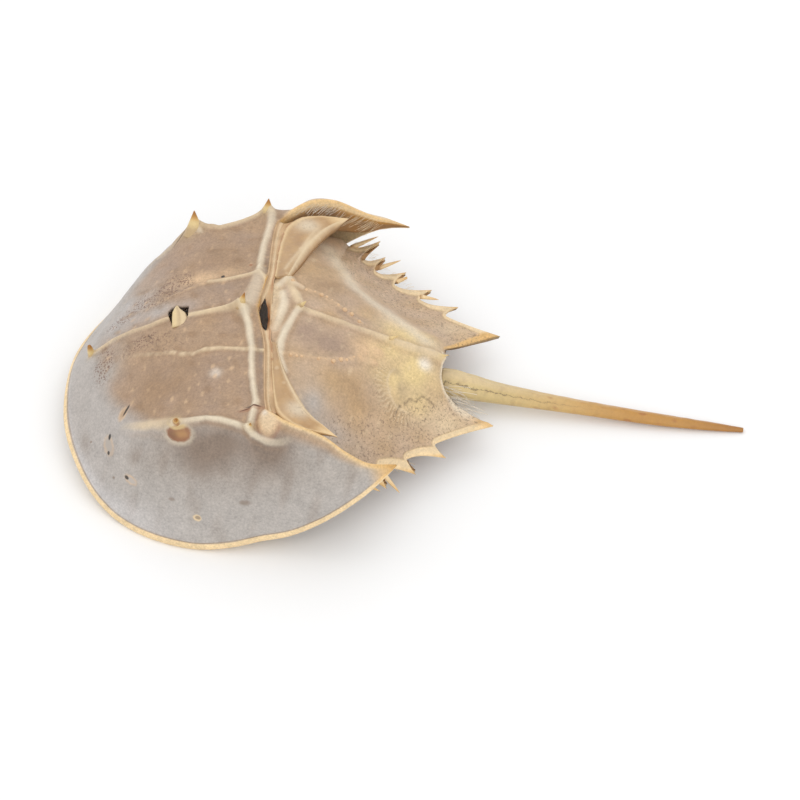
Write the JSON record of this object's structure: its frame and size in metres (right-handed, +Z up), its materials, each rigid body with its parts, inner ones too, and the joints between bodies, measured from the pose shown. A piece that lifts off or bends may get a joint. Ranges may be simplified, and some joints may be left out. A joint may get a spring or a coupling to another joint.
{
  "type": "horseshoe crab shell",
  "caption": "Dried horseshoe crab shell: hollow horseshoe-shaped front shield with swept corners, toothed rear shield and a long pointed tail spine; a seashore display piece.",
  "frame": {"origin": "on the floor under the middle of the shell's box", "axes": "+X towards the tip of the tail spine, +Y towards the animal's right side, +Z up"},
  "size_m": [0.1446, 0.0826, 0.0336],
  "materials": {
    "front_shield": "satin dried horn, tan and mauve on top, grey at the flanks, golden rim",
    "rear_shield": "satin dried horn, mauve with fine wrinkles, pale yellow to the rear",
    "tail_spine": "satin olive yellow horn, amber at the tip",
    "edge_spines": "satin honey horn"
  },
  "bodies": {
    "root": {"front_shield": "front_shield", "rear_shield": "rear_shield", "tail_spine": "tail_spine", "edge_spine_right_1": "edge_spines", "edge_spine_right_3": "edge_spines", "edge_spine_right_4_stub": "edge_spines", "edge_spine_right_5": "edge_spines", "edge_spine_left_1": "edge_spines", "edge_spine_left_2": "edge_spines", "edge_spine_left_3": "edge_spines", "edge_spine_left_4": "edge_spines"}
  },
  "joints": []
}
